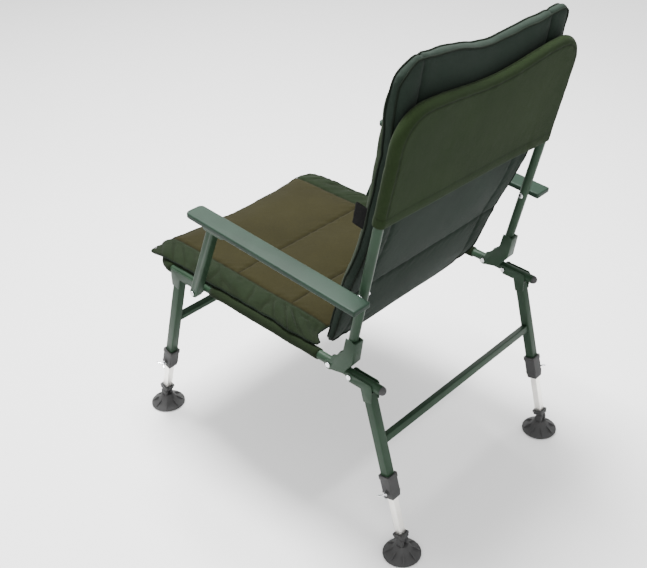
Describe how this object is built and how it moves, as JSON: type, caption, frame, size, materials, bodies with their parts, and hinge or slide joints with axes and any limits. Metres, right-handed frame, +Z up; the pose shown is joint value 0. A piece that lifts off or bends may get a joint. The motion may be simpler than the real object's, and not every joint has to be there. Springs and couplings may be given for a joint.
{
  "type": "carp fishing chair",
  "caption": "Folding padded fishing chair: tube frame, linked armrests, telescopic legs with thumb screws and swivelling mud feet.",
  "frame": {"origin": "on the ground, midway between the four feet", "axes": "+Z up, -Y the way a sitter faces, +X the sitter's left"},
  "size_m": [0.6232, 0.818, 1.0089],
  "materials": {
    "frame_green": "satin dark green powder coat",
    "armrest_green": "satin grey-green moulded plastic",
    "black_plastic": "matt moulded plastic",
    "bright_steel": "bright zinc plate",
    "bare_aluminium": "bare drawn tube",
    "olive_cloth": "matt woven cloth over foam",
    "green_cloth": "matt woven cloth",
    "grey_cloth": "smooth woven cloth over foam",
    "black_cloth": "woven tape"
  },
  "bodies": {
    "seat_frame": {"seat_tube": "frame_green", "seat_sling": "green_cloth", "seat_pad": "olive_cloth", "tube_plug_left": "black_plastic", "tube_plug_right": "black_plastic", "back_hinge_bolt_left": "bright_steel", "back_hinge_bolt_right": "bright_steel", "rear_leg_bolt_left": "bright_steel", "rear_leg_bolt_right": "bright_steel", "front_leg_bolt_left": "bright_steel", "front_leg_bolt_right": "bright_steel"},
    "back_frame": {"back_tube": "frame_green", "hinge_bracket_left": "frame_green", "hinge_bracket_right": "frame_green", "hood": "green_cloth", "back_pad": "grey_cloth", "label_tag": "black_cloth"},
    "armrest_left": {"armrest_left": "armrest_green", "arm_bracket_left": "frame_green", "post_top_bolt_left": "bright_steel", "arm_pivot_bolt_left": "bright_steel"},
    "post_left": {"arm_post_left": "frame_green"},
    "armrest_right": {"armrest_right": "armrest_green", "arm_bracket_right": "frame_green", "post_top_bolt_right": "bright_steel", "arm_pivot_bolt_right": "bright_steel"},
    "post_right": {"arm_post_right": "frame_green"},
    "rear_legs": {"rear_saddle_left": "frame_green", "rear_saddle_right": "frame_green", "rear_leg_left": "frame_green", "rear_leg_right": "frame_green", "rear_collar_left": "black_plastic", "rear_collar_right": "black_plastic", "rear_crossbar": "frame_green"},
    "rear_inner_leg_left": {"rear_inner_leg_left": "bare_aluminium", "rear_foot_socket_left": "black_plastic"},
    "rear_mud_foot_left": {"rear_mud_foot_left": "black_plastic"},
    "rear_thumb_screw_left": {"rear_thumb_screw_left": "bright_steel"},
    "rear_inner_leg_right": {"rear_inner_leg_right": "bare_aluminium", "rear_foot_socket_right": "black_plastic"},
    "rear_mud_foot_right": {"rear_mud_foot_right": "black_plastic"},
    "rear_thumb_screw_right": {"rear_thumb_screw_right": "bright_steel"},
    "front_legs": {"front_saddle_left": "frame_green", "front_saddle_right": "frame_green", "front_leg_left": "frame_green", "front_leg_right": "frame_green", "front_collar_left": "black_plastic", "front_collar_right": "black_plastic", "front_crossbar": "frame_green"},
    "front_inner_leg_left": {"front_inner_leg_left": "bare_aluminium", "front_foot_socket_left": "black_plastic"},
    "front_mud_foot_left": {"front_mud_foot_left": "black_plastic"},
    "front_thumb_screw_left": {"front_thumb_screw_left": "bright_steel"},
    "front_inner_leg_right": {"front_inner_leg_right": "bare_aluminium", "front_foot_socket_right": "black_plastic"},
    "front_mud_foot_right": {"front_mud_foot_right": "black_plastic"},
    "front_thumb_screw_right": {"front_thumb_screw_right": "bright_steel"}
  },
  "joints": [
    {"name": "back_fold", "type": "hinge", "parent": "seat_frame", "child": "back_frame", "pos_m": [0, 0.18579, 0.39924], "axis": [1, 0, 0], "range_deg": [0, 90], "deforming": ["back_pad", "seat_pad"]},
    {"name": "arm_fold_left", "type": "hinge", "parent": "back_frame", "child": "armrest_left", "pos_m": [0.27, 0.26622, 0.5876], "axis": [1, 0, 0], "range_deg": [-90, 0]},
    {"name": "post_fold_left", "type": "hinge", "parent": "seat_frame", "child": "post_left", "pos_m": [0.2795, -0.1798, 0.41648], "axis": [1, 0, 0], "range_deg": [0, 90]},
    {"name": "arm_fold_right", "type": "hinge", "parent": "back_frame", "child": "armrest_right", "pos_m": [-0.27, 0.26622, 0.5876], "axis": [1, 0, 0], "range_deg": [-90, 0]},
    {"name": "post_fold_right", "type": "hinge", "parent": "seat_frame", "child": "post_right", "pos_m": [-0.2795, -0.1798, 0.41648], "axis": [1, 0, 0], "range_deg": [0, 90]},
    {"name": "rear_legs_fold", "type": "hinge", "parent": "seat_frame", "child": "rear_legs", "pos_m": [0, 0.23973, 0.39669], "axis": [-1, 0, 0], "range_deg": [0, 100]},
    {"name": "rear_leg_slide_left", "type": "slide", "parent": "rear_legs", "child": "rear_inner_leg_left", "axis": [0, -0.2535, 0.9673], "range_m": [-0.045, 0.088]},
    {"name": "rear_foot_tilt_left", "type": "hinge", "parent": "rear_inner_leg_left", "child": "rear_mud_foot_left", "pos_m": [0.255, 0.369, 0.039], "axis": [1, 0, 0], "range_deg": [-20, 20]},
    {"name": "rear_screw_turn_left", "type": "hinge", "parent": "rear_legs", "child": "rear_thumb_screw_left", "pos_m": [0.2693, 0.33756, 0.15895], "axis": [1, 0, 0], "range_deg": [0, 360]},
    {"name": "rear_leg_slide_right", "type": "slide", "parent": "rear_legs", "child": "rear_inner_leg_right", "axis": [0, -0.2535, 0.9673], "range_m": [-0.045, 0.088]},
    {"name": "rear_foot_tilt_right", "type": "hinge", "parent": "rear_inner_leg_right", "child": "rear_mud_foot_right", "pos_m": [-0.255, 0.369, 0.039], "axis": [1, 0, 0], "range_deg": [-20, 20]},
    {"name": "rear_screw_turn_right", "type": "hinge", "parent": "rear_legs", "child": "rear_thumb_screw_right", "pos_m": [-0.2693, 0.33756, 0.15895], "axis": [-1, 0, 0], "range_deg": [0, 360]},
    {"name": "front_legs_fold", "type": "hinge", "parent": "seat_frame", "child": "front_legs", "pos_m": [0, -0.1798, 0.41648], "axis": [1, 0, 0], "range_deg": [0, 75]},
    {"name": "front_leg_slide_left", "type": "slide", "parent": "front_legs", "child": "front_inner_leg_left", "axis": [0, 0.2826, 0.9592], "range_m": [-0.059, 0.074]},
    {"name": "front_foot_tilt_left", "type": "hinge", "parent": "front_inner_leg_left", "child": "front_mud_foot_left", "pos_m": [0.255, -0.369, 0.039], "axis": [1, 0, 0], "range_deg": [-20, 20]},
    {"name": "front_screw_turn_left", "type": "hinge", "parent": "front_legs", "child": "front_thumb_screw_left", "pos_m": [0.2693, -0.33791, 0.14452], "axis": [1, 0, 0], "range_deg": [0, 360]},
    {"name": "front_leg_slide_right", "type": "slide", "parent": "front_legs", "child": "front_inner_leg_right", "axis": [0, 0.2826, 0.9592], "range_m": [-0.059, 0.074]},
    {"name": "front_foot_tilt_right", "type": "hinge", "parent": "front_inner_leg_right", "child": "front_mud_foot_right", "pos_m": [-0.255, -0.369, 0.039], "axis": [1, 0, 0], "range_deg": [-20, 20]},
    {"name": "front_screw_turn_right", "type": "hinge", "parent": "front_legs", "child": "front_thumb_screw_right", "pos_m": [-0.2693, -0.33791, 0.14452], "axis": [-1, 0, 0], "range_deg": [0, 360]}
  ],
  "couplings": [
    {"joint": "arm_fold_left", "follows": "back_fold", "ratio": -1},
    {"joint": "post_fold_left", "follows": "back_fold", "ratio": 1},
    {"joint": "arm_fold_right", "follows": "back_fold", "ratio": -1},
    {"joint": "post_fold_right", "follows": "back_fold", "ratio": 1}
  ]
}
